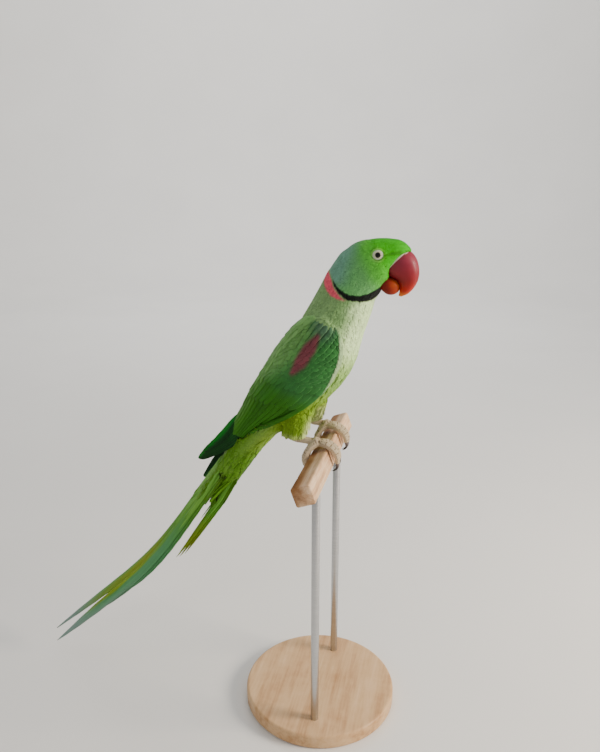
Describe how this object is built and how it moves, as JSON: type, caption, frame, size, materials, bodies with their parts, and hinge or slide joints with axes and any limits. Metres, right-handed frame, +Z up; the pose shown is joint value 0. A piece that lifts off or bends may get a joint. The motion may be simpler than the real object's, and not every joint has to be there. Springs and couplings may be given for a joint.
{
  "type": "parakeet figure on perch",
  "caption": "Life-size cock Alexandrine parakeet, still, gripping a cut length of square perch held by a round base and slim rods.",
  "frame": {"origin": "centre of the underside of the stand's round base", "axes": "+X forward, the way the bird faces; +Y to the bird's left, along the perch; +Z up. The bird's mid plane is Y = 0"},
  "size_m": [0.3632, 0.172, 0.4332],
  "materials": {
    "plumage_head": "short soft feathers, bright green forehead to blue-grey nape, with a black chin stripe and rose collar",
    "plumage_body": "soft feathers, pale grey-green breast, yellow-green thighs and vent",
    "plumage_wing": "firm overlapping feathers, green with a maroon shoulder patch",
    "plumage_quill": "stiff flight feathers, near-black bottle green",
    "plumage_tail": "long stiff feathers, green to blue-green with a yellow-olive shaft streak",
    "bill_horn": "polished horn, raspberry to orange-red",
    "cere_skin": "soft cream skin round the base of the bill",
    "eye_glass": "wet dark eye with a pale iris",
    "foot_skin": "dry scaled skin",
    "claw_horn": "dark horn",
    "perch_wood": "sawn softwood with worn edges",
    "stand_wood": "oiled beech",
    "stand_steel": "plain satin steel"
  },
  "bodies": {
    "root": {"bill_lower": "bill_horn", "bill_upper": "bill_horn", "cere": "cere_skin", "claw_left_inner_back": "claw_horn", "claw_left_inner_front": "claw_horn", "claw_left_outer_back": "claw_horn", "claw_left_outer_front": "claw_horn", "claw_right_inner_back": "claw_horn", "claw_right_inner_front": "claw_horn", "claw_right_outer_back": "claw_horn", "claw_right_outer_front": "claw_horn", "eye_left": "eye_glass", "eye_right": "eye_glass", "foot_left": "foot_skin", "foot_right": "foot_skin", "head": "plumage_head", "neck": "plumage_body", "perch": "perch_wood", "rump": "plumage_body", "stand_base": "stand_wood", "stand_rod_far": "stand_steel", "stand_rod_near": "stand_steel", "tail_left_1": "plumage_tail", "tail_left_2": "plumage_tail", "tail_left_3": "plumage_tail", "tail_left_4": "plumage_tail", "tail_left_5": "plumage_tail", "tail_left_6": "plumage_tail", "tail_right_1": "plumage_tail", "tail_right_2": "plumage_tail", "tail_right_3": "plumage_tail", "tail_right_4": "plumage_tail", "tail_right_5": "plumage_tail", "tail_right_6": "plumage_tail", "thigh_left": "plumage_body", "thigh_right": "plumage_body", "trunk": "plumage_body", "wing_left_coverts": "plumage_wing", "wing_left_primaries": "plumage_quill", "wing_left_secondaries": "plumage_wing", "wing_right_coverts": "plumage_wing", "wing_right_primaries": "plumage_quill", "wing_right_secondaries": "plumage_wing"}
  },
  "joints": []
}
